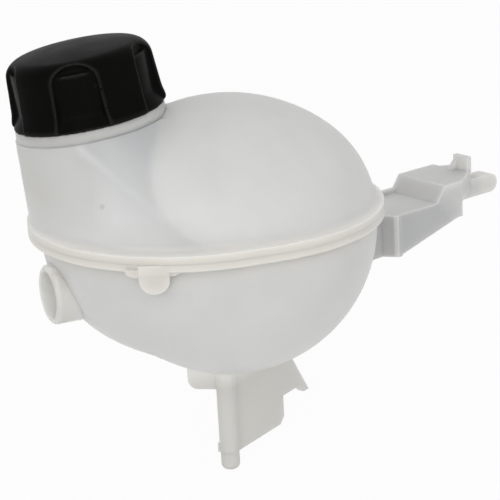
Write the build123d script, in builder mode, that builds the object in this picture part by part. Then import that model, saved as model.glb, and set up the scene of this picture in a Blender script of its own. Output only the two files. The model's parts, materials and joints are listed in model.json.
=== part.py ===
# Coolant expansion tank: two moulded shells welded at a flange, with a screw pressure cap.
# Millimetres. Origin on the foot pin's axis at its shoulder, +Z up, +X away from the filler neck.
import os
from math import atan2, cos, radians, sin, sqrt, tan

from build123d import *

os.makedirs("parts", exist_ok=True)

# Tank body
wall = 2.8
tank_offset = 5.0
flange_height = 109.0
bowl_radius = 65.4
bowl_drop = 2.2
dome_step = 0.2
dome_rise = 54.8
dome_ease = 5.8
lobe_shift = 13.7
lobe_step = 2.2
lobe_lift = 5.9
lobe_ease = 4.5
lobe_blend = 80.0

# Weld flange
lip = 3.35
rim_width = 3.3
lobe_rim_step = 4.3
rim_round = 0.8
rim_fillet = 2.6
touch = 0.01

# Filler neck
neck_inset = 30.4
neck_rise = 50.4
neck_tilt = 7.7
neck_radius = 33.4
neck_roof = 3.6
collar_height = 4.8
collar_inset = 0.7
fairing_shift = 15.7
fairing_setback = 3.5
fairing_blend = 8.0
spout_radius = 24.6
spout_bore = 20.8
spout_height = 20.0

# Outlet socket and degassing nipple
outlet_angle = 203.9
outlet_drop = 20.8
outlet_proud = 2.6
outlet_radius = 13.0
outlet_round = 2.0
outlet_bore = 10.3
inlet_rise = 22.0
inlet_length = 22.0
inlet_radius = 3.5
inlet_bore = 2.3
inlet_bead = 0.5
inlet_bead_length = 3.0
inlet_lead = 1.5

# Side arm
arm_angle = 38.0
arm_wall = 2.5
arm_front = 18.6
arm_neck_front = 13.0
arm_back = 13.4
arm_neck_reach = 13.4
arm_knee_reach = 17.2
arm_slope_reach = 19.0
arm_ramp_reach = 43.4
arm_ramp_run = 5.6
arm_front_reach = 59.6
arm_back_reach = 71.8
arm_reach = 75.8
arm_low_top = -14.0
arm_back_lip = 1.9
arm_high_top = -6.4
arm_root_bottom = -34.2
arm_knee_bottom = -33.5
arm_tip_bottom = -23.4
arm_tip_flat = 3.0
arm_head_bottom = -16.2
arm_corner = 10.6
arm_notch = 2.5
arm_notch_side = 6.5
arm_rib = 2.6
arm_rib_proud = 0.9
arm_tab_width = 9.5
arm_tab_side = 8.5
arm_tab_top = 0.3
arm_gusset = 4.5
tongue_width = 8.5
tongue_level = -15.4
tongue_half = 4.4
tongue_reach = 12.6

# Foot
foot_rod_radius = 4.5
foot_pin_radius = 4.25
foot_pin_length = 8.6
foot_pin_round = 2.6
foot_rib = 3.0
foot_web_angle = 55.0
foot_web_side = 2.5
foot_web_reach = 39.2
foot_web_step = 13.1
foot_web_chamfer = 3.2
foot_hook_run = 12.7
foot_hook_slant = 4.7
foot_hook_drop = 4.0
foot_hook_tip = 4.3
foot_hook_lean = 32.9
foot_ledge_angle = 170.0
foot_ledge_reach = 17.0
foot_ledge_drop = 11.3
foot_ledge_round = 4.5
foot_nub = 0.8
foot_nub_height = 3.4

# Flange tab
tab_place = 30.0
tab_width = 12.6
tab_drop = 8.8
tab_round = 6.0
tab_thickness = 3.0
pad_width = 23.0
pad_slope = 3.0
pad_drop = 1.6

# Screw cap
cap_height = 30.8
cap_foot_radius = 33.2
cap_flare_radius = 33.9
cap_flare_level = 2.6
cap_side_radius = 32.9
cap_side_level = 8.0
cap_shoulder_radius = 31.9
cap_shoulder_level = 21.5
cap_crown_radius = 25.0
cap_crown_level = 29.0
cap_bore = 26.4
cap_roof = 2.8
cap_chamber_radius = 23.0
recess_count = 5
recess_width = 14.3
recess_top = 27.4
recess_back = 27.0
recess_draft = 40.0
recess_floor_radius = 29.4
recess_floor_top = 24.0
recess_ledge = 6.0

# Valve cartridge
fit = 0.3
housing_wall = 5.0
housing_flange = 25.9
housing_flange_height = 2.4
housing_floor = 2.5
bead_radius = 25.2
bead_height = 1.2
seat_radius = 9.0
seat_width = 1.6
seat_height = 1.0
oring_section = 2.7
oring_level = 11.0
oring_gap = 0.15
retainer_level = 17.0
retainer_thickness = 2.0
retainer_ledge = 1.6
retainer_hole = 5.0
vent_circle = 12.5
vent_radius = 1.4
vent_count = 6
plate_radius = 14.3
plate_thickness = 1.5
gasket_thickness = 1.4
gasket_inner = 7.6
gasket_outer = 12.6
spring_radius = 10.5
spring_wire = 1.6
spring_turns = 4.0
poppet_radius = 6.0
poppet_thickness = 1.0
poppet_seal = 0.8
stem_radius = 1.5
stem_gap = 0.08
coil_gap = 0.1
clip_radius = 3.6
clip_thickness = 1.2
small_spring_radius = 2.8
small_spring_wire = 0.6
small_spring_turns = 5.0
small_spring_length = 5.5

# Radii of the dome, lobe, flange and neck wall, and the outlet's and neck's places, led by the bowl
dome_radius = bowl_radius + dome_step
dome_shoulder = dome_rise - dome_ease
lobe_radius = bowl_radius + lobe_step
lobe_depth = bowl_radius - lobe_lift
lobe_shoulder = lobe_depth - lobe_ease
rim_radius = bowl_radius + rim_width
lobe_rim_radius = rim_radius + lobe_rim_step
fairing_radius = lobe_rim_radius - fairing_setback
outlet_reach = lobe_radius + outlet_proud
neck_reach = lobe_shift + lobe_rim_radius - neck_inset

# Stations along the arm, counted from the tank's axis
arm_root = bowl_radius - 3 * wall
arm_neck_end = bowl_radius + arm_neck_reach
arm_knee = bowl_radius + arm_knee_reach
arm_slope_start = bowl_radius + arm_slope_reach
arm_ramp_start = bowl_radius + arm_ramp_reach
arm_ramp_end = arm_ramp_start + arm_ramp_run
arm_front_end = bowl_radius + arm_front_reach
arm_back_end = bowl_radius + arm_back_reach
arm_end = bowl_radius + arm_reach
tongue_end = arm_end + tongue_reach

# Frames of the tank, neck, arm, outlet and foot
tank = Plane(origin=(tank_offset, 0, flange_height))
tank_axis = Axis(tank.origin, tank.z_dir)
weld = tank.offset(lip)
lobe_plane = Plane(origin=tank.from_local_coords((-lobe_shift, 0, 0)))
lobe_axis = Axis(lobe_plane.origin, lobe_plane.z_dir)
tilt = radians(neck_tilt)
neck = Plane(
    origin=tank.from_local_coords((-neck_reach, 0, neck_rise)),
    x_dir=(cos(tilt), 0, sin(tilt)),
    z_dir=(-sin(tilt), 0, cos(tilt)),
)
neck_axis = Axis(neck.origin, neck.z_dir)
neck_section = Plane(origin=neck.origin, x_dir=neck.x_dir, z_dir=-neck.y_dir)


def turned(plane, angle, lift=0.0):
    """The plane turned about its own normal and moved along it."""
    turn = radians(angle)
    x_dir = plane.x_dir * cos(turn) + plane.y_dir * sin(turn)
    return Plane(origin=plane.origin + plane.z_dir * lift, x_dir=x_dir, z_dir=plane.z_dir)


def upright(plane):
    """The vertical plane through a plane's X direction, seen from its right-hand side."""
    return Plane(origin=plane.origin, x_dir=plane.x_dir, z_dir=-plane.y_dir)


def half_oval(plane, radius, height, shoulder):
    """Half of an oval on the plane's Y axis: a shoulder arc between two crown arcs that meet it smoothly."""
    inner = radius - shoulder
    crown = (inner**2 + height**2 - shoulder**2) / (2 * (height - shoulder))
    slope = atan2(crown - height, inner)
    join = (inner + shoulder * cos(slope), shoulder * sin(slope))
    with BuildSketch(plane) as profile:
        with BuildLine():
            RadiusArc((0, -height), (join[0], -join[1]), -crown)
            RadiusArc((join[0], -join[1]), join, -shoulder)
            RadiusArc(join, (0, height), -crown)
            Line((0, height), (0, -height))
        make_face()
    return profile.sketch


def ring_profile(points):
    """A closed outline in the neck's section plane, given as radius and height."""
    with BuildSketch(neck_section) as profile:
        with BuildLine():
            Polyline(*points, close=True)
        make_face()
    return profile.sketch


# Levels along the neck axis
housing_radius = spout_bore - fit
housing_inner = housing_radius - housing_wall
flange_top = spout_height + housing_flange_height
cap_ceiling = flange_top + fit
seat_level = housing_floor + seat_height
plate_level = seat_level + gasket_thickness
plate_top = plate_level + plate_thickness
bead_level = spout_height - fit

arm = turned(tank, arm_angle)
arm_side = upright(arm)
arm_depth = arm_high_top - arm_root_bottom + 2 * arm_wall
outlet = turned(lobe_plane, outlet_angle, -outlet_drop)
outlet_end = Plane(
    origin=outlet.from_local_coords((outlet_reach, 0, 0)), x_dir=outlet.y_dir, z_dir=outlet.x_dir
)
foot_web = upright(turned(Plane.XY, foot_web_angle)).offset(foot_web_side)
foot_ledge = upright(turned(Plane.XY, foot_ledge_angle))
foot_top = flange_height - bowl_drop - bowl_radius
foot_ledge_level = foot_top - foot_ledge_drop
foot_hook_start = foot_web_reach + foot_hook_run
foot_hook_inner = foot_hook_start + foot_hook_slant
foot_hook_outer = foot_hook_inner + foot_hook_tip
foot_hook_level = foot_web_step - foot_hook_drop
foot_web_top = foot_top + bowl_radius / 4
foot_web_top_reach = foot_hook_outer - (foot_web_top - foot_hook_level) * tan(radians(foot_hook_lean))
inlet_root = dome_radius - dome_shoulder + sqrt(dome_shoulder**2 - inlet_rise**2) - wall
inlet = Plane(
    origin=tank.from_local_coords((0, inlet_root, inlet_rise)), x_dir=(1, 0, 0), z_dir=(0, 1, 0)
)
rim_front = sqrt(lobe_rim_radius**2 - (tab_place - lobe_shift) ** 2)


def arm_outline(inset):
    """The arm's plan outline: a narrow root, a wide head, a cut-off front corner and a back notch."""
    with BuildSketch(arm.offset(arm_root_bottom - arm_wall)) as outline:
        with BuildLine():
            Polyline(
                (arm_root, -arm_neck_front),
                (arm_neck_end, -arm_neck_front),
                (arm_knee, -arm_front),
                (arm_front_end, -arm_front),
                (arm_end, -arm_front + arm_corner),
                (arm_end, arm_notch_side),
                (arm_back_end, arm_notch_side + arm_notch),
                (arm_back_end, arm_back),
                (arm_root, arm_back),
                close=True,
            )
        make_face()
        if inset:
            offset(amount=-inset, kind=Kind.INTERSECTION, mode=Mode.REPLACE)
    return outline.sketch


def arm_profile(inset):
    """The arm's side outline: a low plate that ramps up to the head, over a sloping lower edge."""
    with BuildSketch(arm_side) as outline:
        with BuildLine():
            Polyline(
                (arm_root, arm_low_top - inset),
                (arm_ramp_start + inset, arm_low_top - inset),
                (arm_ramp_end + inset, arm_high_top - inset),
                (arm_end, arm_high_top - inset),
                (arm_end, arm_head_bottom),
                (arm_front_end - inset, arm_head_bottom),
                (arm_front_end - inset, arm_tip_bottom),
                (arm_front_end - arm_tip_flat, arm_tip_bottom),
                (arm_slope_start, arm_knee_bottom),
                (arm_root, arm_root_bottom),
                close=True,
            )
        make_face()
    return outline.sketch


def flange_outline(plane):
    """The egg-shaped outline of the weld flange: the hull of the bowl's and the lobe's rims."""
    with BuildSketch(plane) as outline:
        Circle(rim_radius)
        with Locations((-lobe_shift, 0)):
            Circle(lobe_rim_radius)
        make_hull()
    return outline.sketch


def level_edges(shell, plane):
    """The edges of a shell that lie in a level plane."""
    return shell.edges().filter_by(lambda edge: abs(edge.bounding_box().max.Z - plane.origin.Z) < touch)


# Core of the side arm's channel, open below
with BuildPart() as arm_core:
    extrude(arm_profile(arm_wall), amount=arm_front, both=True)
    extrude(arm_outline(arm_wall), amount=arm_depth, mode=Mode.INTERSECT)


# Side arm: a channel hollow from below, with a stop tab and a round-nosed tongue
with BuildPart() as side_arm:
    extrude(arm_profile(0), amount=arm_front, both=True)
    extrude(arm_outline(0), amount=arm_depth, mode=Mode.INTERSECT)
    add(arm_core.part, mode=Mode.SUBTRACT)
    with BuildSketch(arm.offset(arm_low_top - arm_wall)):
        with Locations((arm_root, arm_back)):
            Rectangle(arm_ramp_end - arm_root, arm_wall, align=(Align.MIN, Align.MAX))
    extrude(amount=arm_wall + arm_back_lip)
    with BuildSketch(arm.offset(arm_knee_bottom)):
        with Locations((arm_knee + arm_rib / 2, -arm_front)):
            Rectangle(arm_rib, 2 * arm_rib_proud)
    extrude(amount=arm_low_top - arm_knee_bottom)
    with BuildSketch(arm.offset(arm_high_top - arm_wall)):
        with Locations((arm_end, -arm_tab_side)):
            Rectangle(arm_wall, arm_tab_width, align=(Align.MAX, Align.MIN))
    extrude(amount=arm_tab_top - arm_high_top + arm_wall)
    with BuildSketch(arm_side.offset(arm_tab_side - arm_tab_width)):
        with BuildLine():
            Polyline(
                (arm_end - arm_wall, arm_high_top),
                (arm_end - arm_wall - arm_gusset, arm_high_top),
                (arm_end - arm_wall, arm_high_top + arm_gusset),
                close=True,
            )
        make_face()
    extrude(amount=arm_wall)
    with BuildSketch(arm_side):
        with Locations((tongue_end, tongue_level)):
            Circle(tongue_half)
            Rectangle(tongue_end - arm_front_end, 2 * tongue_half, align=(Align.MAX, Align.CENTER))
    extrude(amount=tongue_width)


# Lower lip of the weld flange, rounded underneath
with BuildPart() as low_lip:
    extrude(flange_outline(tank), amount=lip)
    fillet(low_lip.edges().group_by(Axis.Z)[0], rim_round)


# Lower shell: bowl and neck-side lobe with the arm, the foot and the outlet socket
with BuildPart() as lower_shell:
    with Locations(tank.from_local_coords((0, 0, -bowl_drop))):
        Sphere(bowl_radius)
    revolve(half_oval(upright(lobe_plane), lobe_radius, lobe_depth, lobe_shoulder), axis=lobe_axis)
    split(bisect_by=weld.offset(lip), keep=Keep.BOTTOM)
    lobe_crease = lower_shell.edges().filter_by(GeomType.BSPLINE)
    fillet(lobe_crease.filter_by(lambda edge: edge.center().Z < tank.origin.Z), lobe_blend)
    split(bisect_by=weld, keep=Keep.BOTTOM)
    add(side_arm.part)

    # Lower lip of the weld flange, with its rounded tab and the shallow pad behind it
    add(low_lip.part)
    tab_plane = Plane(
        origin=tank.from_local_coords((-tab_place, -rim_front, 0)), x_dir=(1, 0, 0), z_dir=(0, -1, 0)
    )
    with BuildSketch(tab_plane.offset(-tab_thickness)) as tab:
        with Locations((0, lip)):
            Rectangle(tab_width, lip + tab_drop, align=(Align.CENTER, Align.MAX))
        fillet(tab.vertices().group_by(Axis.Y)[0], tab_round)
    extrude(amount=tab_thickness + rim_round)
    with BuildSketch(tab_plane.offset(-tab_thickness)):
        with BuildLine():
            Polyline(
                (-pad_width / 2, lip / 2),
                (-pad_width / 2, 0),
                (-pad_width / 2 + pad_slope, -pad_drop),
                (pad_width / 2 - pad_slope, -pad_drop),
                (pad_width / 2, 0),
                (pad_width / 2, lip / 2),
                close=True,
            )
        make_face()
    extrude(amount=tab_thickness)

    # Foot: rod, locating pin, the short ledge rib and the long web with its hook
    with BuildSketch(Plane.XY):
        Circle(foot_rod_radius)
    extrude(amount=foot_top + wall)
    with BuildSketch(Plane.XY.offset(-foot_pin_length)):
        Circle(foot_pin_radius)
    extrude(amount=foot_pin_length)
    fillet(lower_shell.edges().group_by(Axis.Z)[0], foot_pin_round)
    with BuildSketch(foot_web):
        with BuildLine():
            Polyline(
                (0, 0),
                (foot_web_reach - foot_web_chamfer, 0),
                (foot_web_reach, foot_web_chamfer),
                (foot_web_reach, foot_web_step),
                (foot_hook_start, foot_web_step),
                (foot_hook_inner, foot_hook_level),
                (foot_hook_outer, foot_hook_level),
                (foot_web_top_reach, foot_web_top),
                (0, foot_web_top),
                close=True,
            )
        make_face()
    extrude(amount=foot_rib / 2, both=True)
    with BuildSketch(foot_ledge):
        with BuildLine():
            RadiusArc(
                (foot_ledge_reach - foot_ledge_round, foot_ledge_level),
                (foot_ledge_reach, foot_ledge_level + foot_ledge_round),
                -foot_ledge_round,
            )
            Polyline(
                (foot_ledge_reach, foot_ledge_level + foot_ledge_round),
                (foot_ledge_reach, foot_top + 2 * wall),
                (0, foot_top + 2 * wall),
                (0, foot_ledge_level),
                (foot_ledge_reach - foot_ledge_round, foot_ledge_level),
            )
        make_face()
    extrude(amount=foot_rib / 2, both=True)
    with BuildSketch(Plane.XY):
        with Locations((-foot_rod_radius, 0)):
            Rectangle(2 * foot_nub, foot_rib)
    extrude(amount=foot_nub_height)

    # Outlet socket
    with BuildSketch(upright(outlet)):
        with BuildLine():
            RadiusArc(
                (outlet_reach - outlet_round, outlet_radius),
                (outlet_reach, outlet_radius - outlet_round),
                outlet_round,
            )
            Polyline(
                (outlet_reach, outlet_radius - outlet_round),
                (outlet_reach, 0),
                (outlet_reach / 2, 0),
                (outlet_reach / 2, outlet_radius),
                (outlet_reach - outlet_round, outlet_radius),
            )
        make_face()
    revolve(axis=Axis(outlet.origin, outlet.x_dir))

    # Cavity
    with Locations(tank.from_local_coords((0, 0, -bowl_drop))):
        Sphere(bowl_radius - wall, mode=Mode.SUBTRACT)
    revolve(
        half_oval(upright(lobe_plane), lobe_radius - wall, lobe_depth - wall, lobe_shoulder - wall),
        axis=lobe_axis,
        mode=Mode.SUBTRACT,
    )
    with BuildSketch(outlet_end):
        Circle(outlet_bore)
    extrude(amount=-outlet_reach / 2, mode=Mode.SUBTRACT)

lower_shell.part.label = "lower_shell"
export_step(lower_shell.part, "parts/lower_shell.step")


# Upper shell with its filler neck and degassing nipple
def neck_fairing(inset, roof):
    """The end faces of the wall that runs from the flange's lobe up to the neck."""
    with BuildSketch(turned(weld, 180)) as base:
        with Locations((fairing_shift, 0)):
            Circle(fairing_radius - inset)
    with BuildSketch(turned(neck, 180, -roof)) as top:
        Circle(neck_radius - inset)
    return base.sketch.faces() + top.sketch.faces()


with BuildPart() as upper_shell:
    loft(neck_fairing(0, collar_height))
    revolve(half_oval(upright(tank), dome_radius, dome_rise, dome_shoulder), axis=tank_axis)
    split(bisect_by=weld, keep=Keep.TOP)
    crease = upper_shell.edges().filter_by(GeomType.BSPLINE)
    fillet(crease.filter_by(lambda edge: edge.center().Z > weld.origin.Z + lip), fairing_blend)
    extrude(flange_outline(weld), amount=lip)
    fillet(level_edges(upper_shell, weld.offset(lip)).filter_by(GeomType.BSPLINE), rim_fillet)
    with BuildSketch(neck):
        Circle(neck_radius - collar_inset)
    extrude(amount=-collar_height)
    with BuildSketch(neck):
        Circle(spout_radius)
    extrude(amount=spout_height)
    with BuildSketch(upright(inlet)):
        with BuildLine():
            Polyline(
                (0, 0),
                (inlet_radius, 0),
                (inlet_radius, inlet_length - inlet_lead - inlet_bead_length),
                (inlet_radius + inlet_bead, inlet_length - inlet_lead - inlet_bead_length),
                (inlet_radius + inlet_bead, inlet_length - inlet_lead),
                (inlet_radius - inlet_bead, inlet_length),
                (0, inlet_length),
                close=True,
            )
        make_face()
    revolve(axis=Axis(inlet.origin, inlet.z_dir))

    # Cavity
    loft(neck_fairing(wall, neck_roof), mode=Mode.SUBTRACT)
    revolve(
        half_oval(upright(tank), dome_radius - wall, dome_rise - wall, dome_shoulder - wall),
        axis=tank_axis,
        mode=Mode.SUBTRACT,
    )
    with BuildSketch(neck.offset(spout_height)):
        Circle(spout_bore)
    extrude(amount=-spout_height - neck_roof - wall, mode=Mode.SUBTRACT)
    with BuildSketch(inlet):
        Circle(inlet_bore)
    extrude(amount=inlet_length, mode=Mode.SUBTRACT)

upper_shell.part.label = "upper_shell"
export_step(upper_shell.part, "parts/upper_shell.step")


# Screw cap: turned section with a rounded shoulder, and five arched finger recesses with drafted walls
with BuildPart() as cap:
    with BuildSketch(neck_section):
        with BuildLine():
            TangentArc(
                (cap_shoulder_radius, cap_shoulder_level),
                (cap_crown_radius, cap_crown_level),
                tangent=(cap_shoulder_radius - cap_side_radius, cap_shoulder_level - cap_side_level),
            )
            Line((cap_side_radius, cap_side_level), (cap_shoulder_radius, cap_shoulder_level))
            flare = TangentArc(
                (cap_side_radius, cap_side_level),
                (cap_flare_radius, cap_flare_level),
                tangent=(cap_side_radius - cap_shoulder_radius, cap_side_level - cap_shoulder_level),
            )
            TangentArc((cap_flare_radius, cap_flare_level), (cap_foot_radius, 0), tangent=flare % 1)
            crown_rise = cap_height - cap_crown_level
            crown_sphere = (cap_crown_radius**2 + crown_rise**2) / (2 * crown_rise)
            RadiusArc((0, cap_height), (cap_crown_radius, cap_crown_level), crown_sphere)
            Polyline(
                (0, cap_height),
                (0, cap_crown_level - cap_roof),
                (cap_chamber_radius, cap_crown_level - cap_roof),
                (cap_chamber_radius, cap_ceiling),
                (cap_bore, cap_ceiling),
                (cap_bore, bead_level),
                (bead_radius, bead_level),
                (bead_radius, bead_level - bead_height),
                (cap_bore, bead_level - bead_height),
                (cap_bore, 0),
                (cap_foot_radius, 0),
            )
        make_face()
    revolve(axis=neck_axis)
    arch_radius = recess_width / 2
    for turn in range(recess_count):
        spoke = turned(neck, turn * 360 / recess_count - 90)
        recess = Plane(
            origin=spoke.from_local_coords((recess_back, 0, 0)), x_dir=spoke.y_dir, z_dir=spoke.x_dir
        )
        with BuildSketch(recess):
            with Locations((0, recess_top - arch_radius)):
                Circle(arch_radius)
                Rectangle(recess_width, recess_top, align=(Align.CENTER, Align.MAX))
        extrude(amount=recess_width, taper=-recess_draft, mode=Mode.SUBTRACT)
    core_radius = (cap_bore + recess_back) / 2
    revolve(
        ring_profile(
            [
                (core_radius, 0),
                (cap_foot_radius, 0),
                (recess_floor_radius, recess_ledge),
                (recess_floor_radius, recess_floor_top),
                (core_radius, recess_floor_top),
            ]
        ),
        axis=neck_axis,
    )

cap.part.label = "cap"
export_step(cap.part, "parts/cap.step")

# Valve housing: a cup that plunges into the spout, with a seat in its floor
oring_radius = spout_bore - oring_gap - oring_section / 2
groove_radius = oring_radius - oring_section / 2
groove_half = oring_section / 2 + oring_gap
with BuildPart() as valve_housing:
    revolve(
        ring_profile(
            [
                (seat_radius, 0),
                (housing_radius, 0),
                (housing_radius, oring_level - groove_half),
                (groove_radius, oring_level - groove_half),
                (groove_radius, oring_level + groove_half),
                (housing_radius, oring_level + groove_half),
                (housing_radius, spout_height),
                (housing_flange, spout_height),
                (housing_flange, flange_top),
                (housing_inner + retainer_ledge, flange_top),
                (housing_inner + retainer_ledge, retainer_level),
                (housing_inner, retainer_level),
                (housing_inner, housing_floor),
                (seat_radius + seat_width, housing_floor),
                (seat_radius + seat_width, seat_level),
                (seat_radius, seat_level),
            ]
        ),
        axis=neck_axis,
    )

valve_housing.part.label = "valve_housing"
export_step(valve_housing.part, "parts/valve_housing.step")

with BuildPart() as neck_seal:
    with BuildSketch(neck_section):
        with Locations((oring_radius, oring_level)):
            Circle(oring_section / 2)
    revolve(axis=neck_axis)

neck_seal.part.label = "neck_seal"
export_step(neck_seal.part, "parts/neck_seal.step")

# Spring retainer: a vented disc on the ledge at the top of the housing
with BuildPart() as spring_retainer:
    with BuildSketch(neck.offset(retainer_level)):
        Circle(housing_inner + retainer_ledge - oring_gap)
        Circle(retainer_hole, mode=Mode.SUBTRACT)
        with PolarLocations(vent_circle, vent_count):
            Circle(vent_radius, mode=Mode.SUBTRACT)
    extrude(amount=retainer_thickness)

spring_retainer.part.label = "spring_retainer"
export_step(spring_retainer.part, "parts/spring_retainer.step")

# Pressure valve: a plate with its gasket, held on the seat by the pressure spring
with BuildPart() as pressure_plate:
    with BuildSketch(neck.offset(plate_level)):
        Circle(plate_radius)
        Circle(stem_radius + stem_gap, mode=Mode.SUBTRACT)
    extrude(amount=plate_thickness)

pressure_plate.part.label = "pressure_plate"
export_step(pressure_plate.part, "parts/pressure_plate.step")

with BuildPart() as pressure_gasket:
    with BuildSketch(neck.offset(seat_level)):
        Circle(gasket_outer)
        Circle(gasket_inner, mode=Mode.SUBTRACT)
    extrude(amount=gasket_thickness)

pressure_gasket.part.label = "pressure_gasket"
export_step(pressure_gasket.part, "parts/pressure_gasket.step")

spring_height = retainer_level - plate_top - spring_wire - 2 * coil_gap
with BuildPart() as pressure_spring:
    with BuildLine(neck.offset(plate_top + spring_wire / 2 + coil_gap)) as coil:
        Helix(spring_height / spring_turns, spring_height, spring_radius, direction=neck.z_dir)
    with BuildSketch(Plane(origin=coil.line @ 0, z_dir=coil.line % 0)):
        Circle(spring_wire / 2)
    sweep(path=coil.line, is_frenet=True)

pressure_spring.part.label = "pressure_spring"
export_step(pressure_spring.part, "parts/pressure_spring.step")

# Vacuum valve: a poppet under the plate, drawn up by its own spring against a clip on the stem
clip_level = plate_top + small_spring_length
with BuildPart() as vacuum_poppet:
    with BuildSketch(neck.offset(plate_level - poppet_seal)):
        Circle(poppet_radius)
    extrude(amount=-poppet_thickness)
    with BuildSketch(neck.offset(plate_level - poppet_seal - poppet_thickness)):
        Circle(stem_radius)
    extrude(amount=clip_level + clip_thickness - plate_level + poppet_seal + poppet_thickness)

vacuum_poppet.part.label = "vacuum_poppet"
export_step(vacuum_poppet.part, "parts/vacuum_poppet.step")

with BuildPart() as vacuum_gasket:
    with BuildSketch(neck.offset(plate_level - poppet_seal)):
        Circle(poppet_radius)
        Circle(stem_radius, mode=Mode.SUBTRACT)
    extrude(amount=poppet_seal)

vacuum_gasket.part.label = "vacuum_gasket"
export_step(vacuum_gasket.part, "parts/vacuum_gasket.step")

with BuildPart() as stem_clip:
    with BuildSketch(neck.offset(clip_level)):
        Circle(clip_radius)
        Circle(stem_radius, mode=Mode.SUBTRACT)
    extrude(amount=clip_thickness)

stem_clip.part.label = "stem_clip"
export_step(stem_clip.part, "parts/stem_clip.step")

small_height = small_spring_length - small_spring_wire - 2 * coil_gap
with BuildPart() as vacuum_spring:
    with BuildLine(neck.offset(plate_top + small_spring_wire / 2 + coil_gap)) as small_coil:
        Helix(small_height / small_spring_turns, small_height, small_spring_radius, direction=neck.z_dir)
    with BuildSketch(Plane(origin=small_coil.line @ 0, z_dir=small_coil.line % 0)):
        Circle(small_spring_wire / 2)
    sweep(path=small_coil.line, is_frenet=True)

vacuum_spring.part.label = "vacuum_spring"
export_step(vacuum_spring.part, "parts/vacuum_spring.step")
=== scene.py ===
# Looks of the coolant expansion tank: materials with painted light and shade, soft cap edges, valve
# springs, threads, studio and camera.
import json
from math import cos, pi, radians, sin

import bmesh
import bpy
from mathutils import Matrix, Vector


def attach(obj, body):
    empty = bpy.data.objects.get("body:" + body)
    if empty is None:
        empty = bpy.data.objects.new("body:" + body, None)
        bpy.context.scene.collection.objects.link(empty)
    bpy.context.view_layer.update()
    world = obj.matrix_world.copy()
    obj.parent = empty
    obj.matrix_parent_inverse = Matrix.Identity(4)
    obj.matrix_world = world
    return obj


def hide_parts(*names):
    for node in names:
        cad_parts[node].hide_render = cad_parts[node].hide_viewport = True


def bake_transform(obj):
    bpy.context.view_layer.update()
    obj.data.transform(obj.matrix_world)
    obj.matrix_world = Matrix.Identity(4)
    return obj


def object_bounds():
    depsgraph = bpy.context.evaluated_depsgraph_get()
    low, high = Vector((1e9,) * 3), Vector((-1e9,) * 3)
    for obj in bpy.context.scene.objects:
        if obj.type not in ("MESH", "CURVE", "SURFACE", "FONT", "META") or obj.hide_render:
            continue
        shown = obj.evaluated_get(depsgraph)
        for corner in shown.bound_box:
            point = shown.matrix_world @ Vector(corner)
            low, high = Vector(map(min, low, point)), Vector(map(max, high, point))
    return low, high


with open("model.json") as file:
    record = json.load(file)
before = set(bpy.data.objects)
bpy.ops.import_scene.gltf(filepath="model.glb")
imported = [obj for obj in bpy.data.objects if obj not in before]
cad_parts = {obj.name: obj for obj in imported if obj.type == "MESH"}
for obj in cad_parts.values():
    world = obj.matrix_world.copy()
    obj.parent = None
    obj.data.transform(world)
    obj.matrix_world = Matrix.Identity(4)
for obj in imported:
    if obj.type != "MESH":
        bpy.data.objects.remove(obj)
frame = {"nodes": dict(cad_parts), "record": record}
cad_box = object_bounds()
nodes = frame["nodes"]
joints = {joint["name"]: joint for joint in frame["record"]["behaviour"]["joints"]}
MM = 0.001

# Camera of the photograph
CAMERA_AIM = Vector((14.2, -4.2, 95.6)) * MM
CAMERA_DISTANCE = 873.4 * MM
CAMERA_ELEVATION = radians(17.42)
CAMERA_ROLL = radians(3.27)
CAMERA_SENSOR = 36.0
CAMERA_LENS = 144.0
CAMERA_NEAR = 10.0 * MM
CAMERA_FAR = 50.0

# Floor and world
FLOOR_SIZE = 24.0
FLOOR_LEVEL = cad_box[0][2] - 0.2 * MM
FLOOR_COLOUR = (0.92, 0.92, 0.92, 1.0)
FLOOR_WHITE = 0.93
WORLD_LIGHT = 0.86
WORLD_WHITE = 1.0

# Soft boxes
LAMP_AIM = Vector((0.0, 0.0, 0.10))
KEY_PLACE = Vector((-0.2, -1.15, 0.6))
KEY_SIZE = 1.0
KEY_POWER = 5.5
KEY_COLOUR = (1.0, 0.985, 0.96)
FILL_PLACE = Vector((0.95, -0.65, 0.55))
FILL_SIZE = 0.8
FILL_POWER = 1.0
FILL_COLOUR = (0.96, 0.98, 1.0)

# Screw thread between the spout and the cap
NECK_CENTRE = Vector(joints["cap_turn"]["pos_m"])
NECK_AXIS = Vector(joints["cap_turn"]["axis"]).normalized()
THREAD_PITCH = 4.0 * MM
THREAD_STEPS = 64
SPOUT_RADIUS = 24.6 * MM
SPOUT_CREST = 25.7 * MM
SPOUT_THREAD = (3.2 * MM, 13.2 * MM)
SPOUT_SHIFT = 0.0
CAP_BORE = 26.4 * MM
CAP_CREST = 25.3 * MM
CAP_THREAD = (3.2 * MM, 15.2 * MM)
CAP_SHIFT = pi
THREAD_ROOT_HALF = 0.9 * MM
THREAD_CREST_HALF = 0.4 * MM
THREAD_SINK = 0.15 * MM
THREAD_RUNOUT = 0.12

# Soft edges of the cap
CAP_WELD = 0.02 * MM
CAP_VOXEL = 0.5 * MM
CAP_SMOOTHING = 0.5
CAP_PASSES = 20

# Middle part of a noise pattern, where most of its values lie
NOISE_RANGE = (0.3, 0.7)

# Tank plastic; a pattern has a scale and a detail, and a relief has a depth and a strength
TANK_CLOUDS = (45.0, 3.0)
TANK_GRAIN = (1500.0, 2.0)
TANK_RELIEF = (0.05 * MM, 0.25)
TANK_ROUGHNESS = (0.36, 0.46)
TANK_IOR = 1.49
TANK_SCATTER = (9.0 * MM, 8.7 * MM, 8.2 * MM)
TANK_LOW = (0.69, 0.69, 0.668)
TANK_HIGH = (0.725, 0.723, 0.703)

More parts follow.
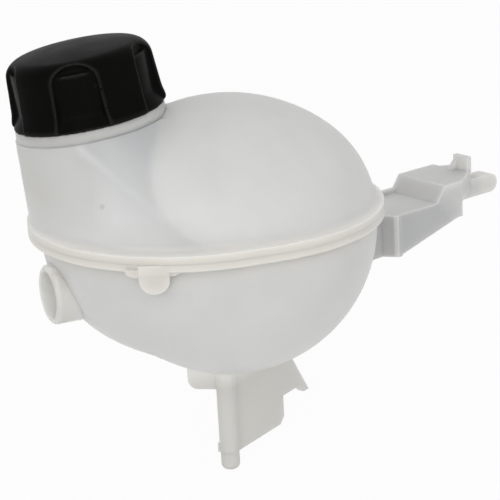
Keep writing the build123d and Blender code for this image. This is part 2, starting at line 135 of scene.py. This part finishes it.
# Level of the weld between the shells, and how edges and scattering fade towards it
WELD_LEVEL = 112.35 * MM
EDGE_SAMPLES = 4
EDGE_RADIUS = (0.0, 0.6 * MM)
EDGE_FADE = (1.0 * MM, 1.6 * MM)
SCATTER_SCALE = (0.05, 1.0)
SCATTER_FADE = (0.0, 5.0 * MM)

# Tints of the tank plastic, most of them painted light or shade, and the ranges of x, y or z over which
# each one comes in or goes out
# Painted light: the bowl paler towards its bottom, standing in for light from the white floor below
BOWL_BOUNCE_LIGHT = (0.78, 0.775, 0.75)
BOWL_BOTTOM = (60.0 * MM, 95.0 * MM)
FLANGE_TINT = (0.72, 0.70, 0.655)
FLANGE_LOW = (100.0 * MM, 109.0 * MM)
FLANGE_HIGH = (115.7 * MM, 117.7 * MM)
# Painted light: the ledge on top of the flange made lighter, filling in the shade of its groove
LEDGE_LIGHT = (0.81, 0.79, 0.745)
LEDGE_LOW = (115.6 * MM, 115.7 * MM)
LEDGE_HIGH = (116.6 * MM, 118.4 * MM)
TAB_TINT = (0.655, 0.64, 0.60)
TAB_FRONT = (-70.0 * MM, -68.5 * MM)
TAB_TOP = (108.0 * MM, 109.0 * MM)
# Painted shade: the left end of the pad darkened to dull the highlight on it
PAD_SHADE = (0.62, 0.605, 0.57)
PAD_FRONT = (-70.4 * MM, -69.6 * MM)
PAD_SIDE = (-32.5 * MM, -31.5 * MM)
PAD_TOP = (111.0 * MM, 111.8 * MM)
# Painted shade: the outlet stub darkened where the lamps light it strongly
OUTLET_SHADE = (0.61, 0.60, 0.575)
OUTLET_END = (-66.0 * MM, -60.0 * MM)
OUTLET_FRONT = (-34.0 * MM, -30.0 * MM)
OUTLET_TOP = (100.0 * MM, 104.0 * MM)
# Painted shade: the foot darkened where the lamps light it strongly
FOOT_SHADE = (0.615, 0.61, 0.59)
FOOT_TOP = (31.0 * MM, 37.0 * MM)
# Painted highlight: the upper shell paler between the seam and the dome, as a soft box's reflection
SADDLE_HIGHLIGHT = (0.80, 0.795, 0.77)
SADDLE_LEFT = (-50.0 * MM, -40.0 * MM)
SADDLE_RIGHT = (-26.0 * MM, 0.0)
SADDLE_FOOT = (118.0 * MM, 128.0 * MM)
# Painted shade: the upper shell darker on the left of the neck, as the shade of the black cap above
NECK_SHADE = (0.61, 0.605, 0.58)
NECK_SIDE = (-78.0 * MM, -44.0 * MM)
NECK_FOOT = (116.0 * MM, 132.0 * MM)

# Painted shade under the cap on the collar and spout, by level along the neck's axis and by distance from
# it
# Painted shade: the collar and spout darker, as the shade under the cap
COLLAR_SHADE = (0.575, 0.57, 0.55)
COLLAR_LEVEL = (-5.3 * MM, -4.3 * MM)
COLLAR_EDGE = (32.8 * MM, 33.2 * MM)

# Side arm: its tints, all but the tongue's painted shade, and ranges of distance along it from the tank's
# axis
ARM_ANGLE = radians(38.0)
ARM_AXIS = (cos(ARM_ANGLE), sin(ARM_ANGLE), 0.0)
# Painted shade: the thin arm greyer overall, less on its upward faces and most on its walls and at its root
# by the bowl
ARM_SHADE = (0.615, 0.615, 0.61)
ARM_TOP_SHADE = (0.57, 0.57, 0.57)
ARM_WALL_SHADE = (0.475, 0.48, 0.49)
ARM_ROOT_SHADE = (0.465, 0.465, 0.475)
TONGUE_TINT = (0.665, 0.655, 0.63)
ARM_ROOT = (70.5 * MM, 72.0 * MM)
ARM_CLEAR = (80.0 * MM, 82.0 * MM)
ARM_KNEE_START = (85.6 * MM, 86.1 * MM)
ARM_KNEE_END = (87.0 * MM, 87.8 * MM)
TONGUE_TIP = (149.0 * MM, 153.0 * MM)

# Side arm: ranges of height, of the upward part of a face's normal, and of distance plus height
ARM_ROOT_TOP = (108.0 * MM, 109.0 * MM)
ARM_TOP_TILT = (0.3, 0.7)
ARM_WALL_END = (205.5 * MM, 219.5 * MM)

# Marks of the mould on the wall under the neck: a seam that runs down from the collar, with a painted
# highlight as a pale line along its ridge, and a gate
# Painted highlight: the pale line along the mould's seam ridge
SEAM_HIGHLIGHT = (0.85, 0.84, 0.815)
SEAM_NORMAL = Vector((-0.709, -0.390, -0.587))
SEAM_LEVEL = -38.4 * MM
SEAM_WIDTH = (0.0, 2.8 * MM)
SEAM_START = (-57.0 * MM, -53.0 * MM)
SEAM_END = (-32.0 * MM, -16.0 * MM)
SEAM_FRONT = (-26.0 * MM, -22.0 * MM)
GATE_TINT = (0.58, 0.58, 0.57)
GATE_PLACE = Vector((-45.3, -49.8, 132.0)) * MM
GATE_WIDTH = (0.2 * MM, 1.6 * MM)

# Cap plastic, with a painted highlight along edges where the surface bends outward, apart from single sharp
# spots
CAP_CLOUDS = (70.0, 4.0)
CAP_GRAIN = (2600.0, 2.0)
CAP_RELIEF = (0.05 * MM, 0.5)
CAP_ROUGHNESS = (0.34, 0.44)
CAP_SPECULAR = 0.02
CAP_LOW = (0.0028, 0.0028, 0.0026)
CAP_HIGH = (0.0040, 0.0039, 0.0036)
# Painted highlight on the cap's outward edges
CAP_EDGE_HIGHLIGHT = (0.020, 0.0195, 0.0186)
CAP_EDGE = (0.505, 0.532)
CAP_SPOT = (0.540, 0.550)

# Valve plastic
VALVE_SPECKLE = (1200.0, 3.0)
VALVE_RELIEF = (0.04 * MM, 0.4)
VALVE_ROUGHNESS = (0.42, 0.55)
VALVE_LOW = (0.035, 0.035, 0.038)
VALVE_HIGH = (0.06, 0.06, 0.064)

# Seal rubber
SEAL_BLOOM = (260.0, 4.0)
SEAL_GRAIN = (1800.0, 2.0)
SEAL_RELIEF = (0.04 * MM, 0.4)
SEAL_ROUGHNESS = (0.62, 0.8)
SEAL_LOW = (0.012, 0.012, 0.012)
SEAL_HIGH = (0.022, 0.022, 0.023)

# Steel, as plates and as wire
STEEL_STREAKS = (500.0, 3.0)
STEEL_RELIEF = (0.02 * MM, 0.3)
STEEL_ROUGHNESS = (0.24, 0.38)
STEEL_LOW = (0.86, 0.86, 0.87)
STEEL_HIGH = (1.0, 1.0, 0.99)
PLATE_TONE = 0.62
PLATE_STRETCH = (1.0, 0.08, 1.0)
WIRE_TONE = 0.55
WIRE_STRETCH = (1.0, 1.0, 0.2)


def camera():
    """The photograph's camera: a long lens a little above the flange, rolled to the left."""
    back = Vector((0.0, -cos(CAMERA_ELEVATION), sin(CAMERA_ELEVATION)))
    level_right = Vector((1.0, 0.0, 0.0))
    level_up = back.cross(level_right)
    right = level_right * cos(CAMERA_ROLL) - level_up * sin(CAMERA_ROLL)
    up = level_up * cos(CAMERA_ROLL) + level_right * sin(CAMERA_ROLL)
    data = bpy.data.cameras.new("camera")
    data.sensor_width = CAMERA_SENSOR
    data.lens = CAMERA_LENS
    data.clip_start = CAMERA_NEAR
    data.clip_end = CAMERA_FAR
    eye = bpy.data.objects.new("camera", data)
    bpy.context.scene.collection.objects.link(eye)
    turn = Matrix((right, up, back)).transposed().to_4x4()
    eye.matrix_world = Matrix.Translation(CAMERA_AIM + back * CAMERA_DISTANCE) @ turn
    bpy.context.scene.camera = eye


def lamp(name, place, size, power, colour):
    """A square soft box that faces the tank."""
    data = bpy.data.lights.new(name, "AREA")
    data.shape = "SQUARE"
    data.size = size
    data.energy = power
    data.color = colour
    box = bpy.data.objects.new(name, data)
    bpy.context.scene.collection.objects.link(box)
    box.location = place
    box.rotation_euler = (LAMP_AIM - place).to_track_quat("-Z", "Y").to_euler()


def calculate(tree, operation, first, second=0.0):
    """The result of an operation on two values, each linked or plain."""
    node = tree.nodes.new("ShaderNodeMath")
    node.operation = operation
    for socket, value in zip(node.inputs, (first, second)):
        if isinstance(value, float):
            socket.default_value = value
        else:
            tree.links.new(value, socket)
    return node.outputs[0]


def span(tree, value, low, high, start=NOISE_RANGE[0], end=NOISE_RANGE[1]):
    """A value mapped from one range, of noise if none is given, to another."""
    scaled = tree.nodes.new("ShaderNodeMapRange")
    scaled.inputs["From Min"].default_value = start
    scaled.inputs["From Max"].default_value = end
    scaled.inputs["To Min"].default_value = low
    scaled.inputs["To Max"].default_value = high
    tree.links.new(value, scaled.inputs["Value"])
    return scaled.outputs["Result"]


def rising(tree, value, limits):
    """0 up to the first limit and 1 from the second on."""
    return span(tree, value, 0.0, 1.0, *limits)


def falling(tree, value, limits):
    """1 up to the first limit and 0 from the second on."""
    return span(tree, value, 1.0, 0.0, *limits)


def white_mask(tree):
    """1 for rays that see a plain white background: from the camera, or by way of gloss or glass."""
    rays = tree.nodes.new("ShaderNodeLightPath").outputs
    direct = calculate(tree, "MAXIMUM", rays["Is Camera Ray"], rays["Is Glossy Ray"])
    return calculate(tree, "MAXIMUM", direct, rays["Is Transmission Ray"])


def studio():
    """White floor that keeps a faint shadow, white world, and soft boxes."""
    bpy.ops.mesh.primitive_plane_add(size=FLOOR_SIZE, location=(0.0, 0.0, FLOOR_LEVEL))
    floor = bpy.context.object
    floor.name = "floor"
    material = bpy.data.materials.new("floor")
    material.use_nodes = True
    tree = material.node_tree
    tree.nodes.clear()
    paint = tree.nodes.new("ShaderNodeBsdfDiffuse")
    paint.inputs["Color"].default_value = FLOOR_COLOUR
    glow = tree.nodes.new("ShaderNodeEmission")
    mix = tree.nodes.new("ShaderNodeMixShader")
    tree.links.new(calculate(tree, "MULTIPLY", white_mask(tree), FLOOR_WHITE), mix.inputs[0])
    tree.links.new(paint.outputs[0], mix.inputs[1])
    tree.links.new(glow.outputs[0], mix.inputs[2])
    out = tree.nodes.new("ShaderNodeOutputMaterial")
    tree.links.new(mix.outputs[0], out.inputs["Surface"])
    floor.data.materials.append(material)

    world = bpy.data.worlds.new("studio")
    world.use_nodes = True
    tree = world.node_tree
    tree.nodes.clear()
    sky = tree.nodes.new("ShaderNodeBackground")
    strength = span(tree, white_mask(tree), WORLD_LIGHT, WORLD_WHITE, 0.0, 1.0)
    tree.links.new(strength, sky.inputs["Strength"])
    out = tree.nodes.new("ShaderNodeOutputWorld")
    tree.links.new(sky.outputs[0], out.inputs["Surface"])
    bpy.context.scene.world = world

    lamp("key_box", KEY_PLACE, KEY_SIZE, KEY_POWER, KEY_COLOUR)
    lamp("fill_box", FILL_PLACE, FILL_SIZE, FILL_POWER, FILL_COLOUR)


def surface(name):
    """A new material with its node tree and its shader."""
    material = bpy.data.materials.new(name)
    material.use_nodes = True
    return material, material.node_tree, material.node_tree.nodes["Principled BSDF"]


def noise(tree, scale, detail, stretch=None):
    """A noise pattern in metres of the object's own space, stretched along an axis if wanted."""
    place = tree.nodes.new("ShaderNodeTexCoord").outputs["Object"]
    if stretch:
        squeeze = tree.nodes.new("ShaderNodeMapping")
        squeeze.inputs["Scale"].default_value = stretch
        tree.links.new(place, squeeze.inputs["Vector"])
        place = squeeze.outputs["Vector"]
    pattern = tree.nodes.new("ShaderNodeTexNoise")
    pattern.inputs["Scale"].default_value = scale
    pattern.inputs["Detail"].default_value = detail
    tree.links.new(place, pattern.inputs["Vector"])
    return pattern.outputs["Fac"]


def two_tone(tree, pattern, low, high):
    """A colour that goes from one to another with a noise pattern."""
    ramp = tree.nodes.new("ShaderNodeValToRGB")
    for end, position, colour in zip(ramp.color_ramp.elements, NOISE_RANGE, (low, high)):
        end.position = position
        end.color = (*colour, 1.0)
    tree.links.new(pattern, ramp.inputs["Fac"])
    return ramp.outputs["Color"]


def relief(tree, shader, height, depth, strength):
    """Fine relief from a pattern."""
    bump = tree.nodes.new("ShaderNodeBump")
    bump.inputs["Distance"].default_value = depth
    bump.inputs["Strength"].default_value = strength
    tree.links.new(height, bump.inputs["Height"])
    tree.links.new(bump.outputs["Normal"], shader.inputs["Normal"])
    return bump


def zone(tree, colour, tint, *shares):
    """A colour that turns into a tint where all the shares are 1."""
    whole = shares[0]
    for share in shares[1:]:
        whole = calculate(tree, "MULTIPLY", whole, share)
    mix = tree.nodes.new("ShaderNodeMix")
    mix.data_type = "RGBA"
    ends = [socket for socket in mix.inputs if socket.type == "RGBA"]
    tree.links.new(whole, mix.inputs["Factor"])
    tree.links.new(colour, ends[0])
    ends[1].default_value = (*tint, 1.0)
    return next(socket for socket in mix.outputs if socket.type == "RGBA")


def axes(tree, vector):
    """The three parts of a vector."""
    split = tree.nodes.new("ShaderNodeSeparateXYZ")
    tree.links.new(vector, split.inputs["Vector"])
    return split.outputs["X"], split.outputs["Y"], split.outputs["Z"]


def measure(tree, operation, vector, other=None):
    """The outputs of an operation on a linked vector and, where it takes two, a plain one."""
    node = tree.nodes.new("ShaderNodeVectorMath")
    node.operation = operation
    tree.links.new(vector, node.inputs[0])
    if other is not None:
        node.inputs[1].default_value = other
    return node.outputs


def collar_shade_share(tree, place):
    """1 on the neck's collar and spout, where shade under the cap is painted, 0 elsewhere."""
    offset = measure(tree, "SUBTRACT", place, NECK_CENTRE)["Vector"]
    level = measure(tree, "DOT_PRODUCT", offset, NECK_AXIS)["Value"]
    across = measure(tree, "CROSS_PRODUCT", offset, NECK_AXIS)["Vector"]
    radius = measure(tree, "LENGTH", across)["Value"]
    above = rising(tree, level, COLLAR_LEVEL)
    inside = falling(tree, radius, COLLAR_EDGE)
    return calculate(tree, "MULTIPLY", above, inside)


def arm_shade_and_tint(tree, colour, place, normal, height):
    """The thin side arm: painted shade over it, more on its walls and at its root than on its knee and
    tops, and a warmer tip of the tongue.
    """
    reach = measure(tree, "DOT_PRODUCT", place, ARM_AXIS)["Value"]
    root = calculate(tree, "MULTIPLY", rising(tree, reach, ARM_ROOT), falling(tree, height, ARM_ROOT_TOP))
    arm = calculate(tree, "MAXIMUM", root, rising(tree, reach, ARM_CLEAR))
    top = rising(tree, axes(tree, normal)[2], ARM_TOP_TILT)
    side = calculate(tree, "SUBTRACT", 1.0, top)
    knee_start = rising(tree, reach, ARM_KNEE_START)
    knee_end = falling(tree, reach, ARM_KNEE_END)
    off_knee = calculate(tree, "SUBTRACT", 1.0, calculate(tree, "MULTIPLY", knee_start, knee_end))
    wall = falling(tree, calculate(tree, "ADD", reach, height), ARM_WALL_END)
    # Painted shade over the arm, by the way its faces turn and how near they are to the bowl
    colour = zone(tree, colour, ARM_SHADE, arm)
    colour = zone(tree, colour, ARM_TOP_SHADE, arm, top)
    colour = zone(tree, colour, ARM_WALL_SHADE, arm, side, off_knee, wall)
    colour = zone(tree, colour, ARM_ROOT_SHADE, arm, side, falling(tree, reach, ARM_KNEE_START))
    return zone(tree, colour, TONGUE_TINT, rising(tree, reach, TONGUE_TIP))


def seam_highlight_and_gate(tree, colour, place, x, y):
    """The mould's seam, with a painted highlight along it, and gate on the wall under the neck."""
    level = measure(tree, "DOT_PRODUCT", place, SEAM_NORMAL)["Value"]
    off_seam = calculate(tree, "ABSOLUTE", calculate(tree, "SUBTRACT", level, SEAM_LEVEL))
    length = calculate(tree, "MULTIPLY", rising(tree, x, SEAM_START), falling(tree, x, SEAM_END))
    line = falling(tree, off_seam, SEAM_WIDTH)
    # Painted highlight along the seam
    colour = zone(tree, colour, SEAM_HIGHLIGHT, line, length, falling(tree, y, SEAM_FRONT))
    off_gate = measure(tree, "DISTANCE", place, GATE_PLACE)["Value"]
    return zone(tree, colour, GATE_TINT, falling(tree, off_gate, GATE_WIDTH))


def tank_plastic():
    """Milky natural plastic: light goes into it, warmer in the thick flange, with painted light on the
    bowl's bottom, the flange's ledge and the saddle, a painted highlight along the mould's seam, and
    painted shade on the arm, foot, outlet, pad, collar and left of the neck.
    """
    material, tree, shader = surface("tank_plastic")
    clouds = noise(tree, *TANK_CLOUDS)
    texture = tree.nodes.new("ShaderNodeTexCoord").outputs
    place = texture["Object"]
    x, y, z = axes(tree, place)
    colour = two_tone(tree, clouds, TANK_LOW, TANK_HIGH)
    # Painted light: the bowl paler towards its bottom
    colour = zone(tree, colour, BOWL_BOUNCE_LIGHT, falling(tree, z, BOWL_BOTTOM))
    colour = zone(tree, colour, FLANGE_TINT, rising(tree, z, FLANGE_LOW), falling(tree, z, FLANGE_HIGH))
    colour = zone(tree, colour, TAB_TINT, falling(tree, y, TAB_FRONT), falling(tree, z, TAB_TOP))
    # Painted shade on the left end of the pad
    pad = (falling(tree, y, PAD_FRONT), falling(tree, x, PAD_SIDE), falling(tree, z, PAD_TOP))
    colour = zone(tree, colour, PAD_SHADE, *pad)
    # Painted light on the ledge above the flange
    colour = zone(tree, colour, LEDGE_LIGHT, rising(tree, z, LEDGE_LOW), falling(tree, z, LEDGE_HIGH))
    # Painted shade on the outlet stub
    outlet = (falling(tree, x, OUTLET_END), falling(tree, y, OUTLET_FRONT), falling(tree, z, OUTLET_TOP))
    colour = zone(tree, colour, OUTLET_SHADE, *outlet)
    # Painted shade on the side arm
    colour = arm_shade_and_tint(tree, colour, place, texture["Normal"], z)
    # Painted shade on the foot
    colour = zone(tree, colour, FOOT_SHADE, falling(tree, z, FOOT_TOP))
    # Painted highlight on the saddle between the seam and the dome
    saddle = (rising(tree, x, SADDLE_LEFT), falling(tree, x, SADDLE_RIGHT), rising(tree, z, SADDLE_FOOT))
    colour = zone(tree, colour, SADDLE_HIGHLIGHT, *saddle)
    # Painted shade left of the neck, under the cap
    colour = zone(tree, colour, NECK_SHADE, falling(tree, x, NECK_SIDE), rising(tree, z, NECK_FOOT))
    # The seam's pale line is a painted highlight
    colour = seam_highlight_and_gate(tree, colour, place, x, y)
    # Painted shade on the collar and spout under the cap
    colour = zone(tree, colour, COLLAR_SHADE, collar_shade_share(tree, place))
    tree.links.new(colour, shader.inputs["Base Color"])
    tree.links.new(span(tree, clouds, *TANK_ROUGHNESS), shader.inputs["Roughness"])
    shader.inputs["Subsurface Weight"].default_value = 1.0
    shader.inputs["Subsurface Radius"].default_value = TANK_SCATTER
    shader.inputs["IOR"].default_value = TANK_IOR
    grain = relief(tree, shader, noise(tree, *TANK_GRAIN), *TANK_RELIEF)
    edge = tree.nodes.new("ShaderNodeBevel")
    edge.samples = EDGE_SAMPLES
    off_weld = calculate(tree, "ABSOLUTE", calculate(tree, "SUBTRACT", z, WELD_LEVEL))
    tree.links.new(span(tree, off_weld, *EDGE_RADIUS, *EDGE_FADE), edge.inputs["Radius"])
    tree.links.new(span(tree, off_weld, *SCATTER_SCALE, *SCATTER_FADE), shader.inputs["Subsurface Scale"])
    tree.links.new(edge.outputs["Normal"], grain.inputs["Normal"])
    return material


def cap_plastic():
    """Black satin plastic with a fine moulded grain, and a painted highlight along its edges."""
    material, tree, shader = surface("cap_plastic")
    clouds = noise(tree, *CAP_CLOUDS)
    bend = tree.nodes.new("ShaderNodeNewGeometry").outputs["Pointiness"]
    colour = two_tone(tree, clouds, CAP_LOW, CAP_HIGH)
    # Painted highlight along the outward edges
    colour = zone(tree, colour, CAP_EDGE_HIGHLIGHT, rising(tree, bend, CAP_EDGE), falling(tree, bend, CAP_SPOT))
    tree.links.new(colour, shader.inputs["Base Color"])
    tree.links.new(span(tree, clouds, *CAP_ROUGHNESS), shader.inputs["Roughness"])
    shader.inputs["Specular IOR Level"].default_value = CAP_SPECULAR
    relief(tree, shader, noise(tree, *CAP_GRAIN), *CAP_RELIEF)
    return material


def valve_plastic():
    """Dark grey glass-filled plastic with a speckled face."""
    material, tree, shader = surface("valve_plastic")
    speckle = noise(tree, *VALVE_SPECKLE)
    tree.links.new(two_tone(tree, speckle, VALVE_LOW, VALVE_HIGH), shader.inputs["Base Color"])
    tree.links.new(span(tree, speckle, *VALVE_ROUGHNESS), shader.inputs["Roughness"])
    relief(tree, shader, speckle, *VALVE_RELIEF)
    return material


def seal_rubber():
    """Matt black rubber with a faint bloom."""
    material, tree, shader = surface("seal_rubber")
    bloom = noise(tree, *SEAL_BLOOM)
    tree.links.new(two_tone(tree, bloom, SEAL_LOW, SEAL_HIGH), shader.inputs["Base Color"])
    tree.links.new(span(tree, bloom, *SEAL_ROUGHNESS), shader.inputs["Roughness"])
    relief(tree, shader, noise(tree, *SEAL_GRAIN), *SEAL_RELIEF)
    return material


def steel(name, tone, stretch):
    """Bare steel with drawn or rolled streaks."""
    material, tree, shader = surface(name)
    streaks = noise(tree, *STEEL_STREAKS, stretch)
    low = tuple(tone * part for part in STEEL_LOW)
    high = tuple(tone * part for part in STEEL_HIGH)
    tree.links.new(two_tone(tree, streaks, low, high), shader.inputs["Base Color"])
    tree.links.new(span(tree, streaks, *STEEL_ROUGHNESS), shader.inputs["Roughness"])
    shader.inputs["Metallic"].default_value = 1.0
    relief(tree, shader, streaks, *STEEL_RELIEF)
    return material


def dress(node, material):
    """Gives a CAD node its material."""
    mesh = nodes[node].data
    mesh.materials.clear()
    mesh.materials.append(material)


def soften_cap():
    """Gives the cap soft moulded edges all over: an even fine mesh, smoothed."""
    modifiers = nodes["cap"].modifiers
    weld = modifiers.new("weld", "WELD")
    weld.merge_threshold = CAP_WELD
    mesh = modifiers.new("grain", "REMESH")
    mesh.mode = "VOXEL"
    mesh.voxel_size = CAP_VOXEL
    mesh.use_smooth_shade = True
    smooth = modifiers.new("edges", "SMOOTH")
    smooth.factor = CAP_SMOOTHING
    smooth.iterations = CAP_PASSES


def coil(name, node):
    """A spring of the cap's valves, copied in place from its CAD node, which is then hidden."""
    data = nodes[node].data.copy()
    data.transform(nodes[node].matrix_world)
    piece = bpy.data.objects.new(name, data)
    bpy.context.scene.collection.objects.link(piece)
    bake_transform(piece)
    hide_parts(node)


def thread(name, body, slot, root, crest, levels, shift):
    """A right-hand screw thread as a ridge along a helix on the neck's axis, run out at both ends."""
    across = Vector((0.0, 1.0, 0.0)).cross(NECK_AXIS).normalized()
    side = NECK_AXIS.cross(across)
    turns = (levels[1] - levels[0]) / THREAD_PITCH
    steps = round(turns * THREAD_STEPS)
    outward = 1.0 if crest > root else -1.0
    foot = root - outward * THREAD_SINK
    mesh = bmesh.new()
    rings = []
    for step in range(steps + 1):
        share = step / steps
        angle = 2 * pi * turns * share + shift
        level = levels[0] + (levels[1] - levels[0]) * share
        full = min(1.0, share / THREAD_RUNOUT, (1.0 - share) / THREAD_RUNOUT)
        top = root + (crest - root) * full
        out = across * cos(angle) + side * sin(angle)
        outline = (
            (foot, -THREAD_ROOT_HALF),
            (top, -THREAD_CREST_HALF),
            (top, THREAD_CREST_HALF),
            (foot, THREAD_ROOT_HALF),
        )
        corners = [NECK_CENTRE + out * radius + NECK_AXIS * (level + rise) for radius, rise in outline]
        rings.append([mesh.verts.new(corner) for corner in corners])
    for near, far in zip(rings, rings[1:]):
        for corner in range(len(near)):
            after = (corner + 1) % len(near)
            mesh.faces.new((near[corner], near[after], far[after], far[corner]))
    mesh.faces.new(rings[0])
    mesh.faces.new(list(reversed(rings[-1])))
    bmesh.ops.recalc_face_normals(mesh, faces=mesh.faces)
    data = bpy.data.meshes.new(name)
    mesh.to_mesh(data)
    mesh.free()
    piece = bpy.data.objects.new(name, data)
    bpy.context.scene.collection.objects.link(piece)
    data.materials.append(materials[slot])
    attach(piece, body)


materials = {
    "tank_plastic": tank_plastic(),
    "cap_plastic": cap_plastic(),
    "valve_plastic": valve_plastic(),
    "seal_rubber": seal_rubber(),
    "valve_metal": steel("valve_metal", PLATE_TONE, PLATE_STRETCH),
    "spring_steel": steel("spring_steel", WIRE_TONE, WIRE_STRETCH),
}
for part in frame["record"]["subparts"]:
    dress(part["node"], materials[part["material_slot"]])

soften_cap()
coil("pressure_coil", "pressure_spring")
coil("vacuum_coil", "vacuum_spring")

thread("spout_thread", "tank", "tank_plastic", SPOUT_RADIUS, SPOUT_CREST, SPOUT_THREAD, SPOUT_SHIFT)
thread("cap_thread", "screw_cap", "cap_plastic", CAP_BORE, CAP_CREST, CAP_THREAD, CAP_SHIFT)

camera()
studio()

scene = bpy.context.scene
scene.view_settings.view_transform = "Standard"
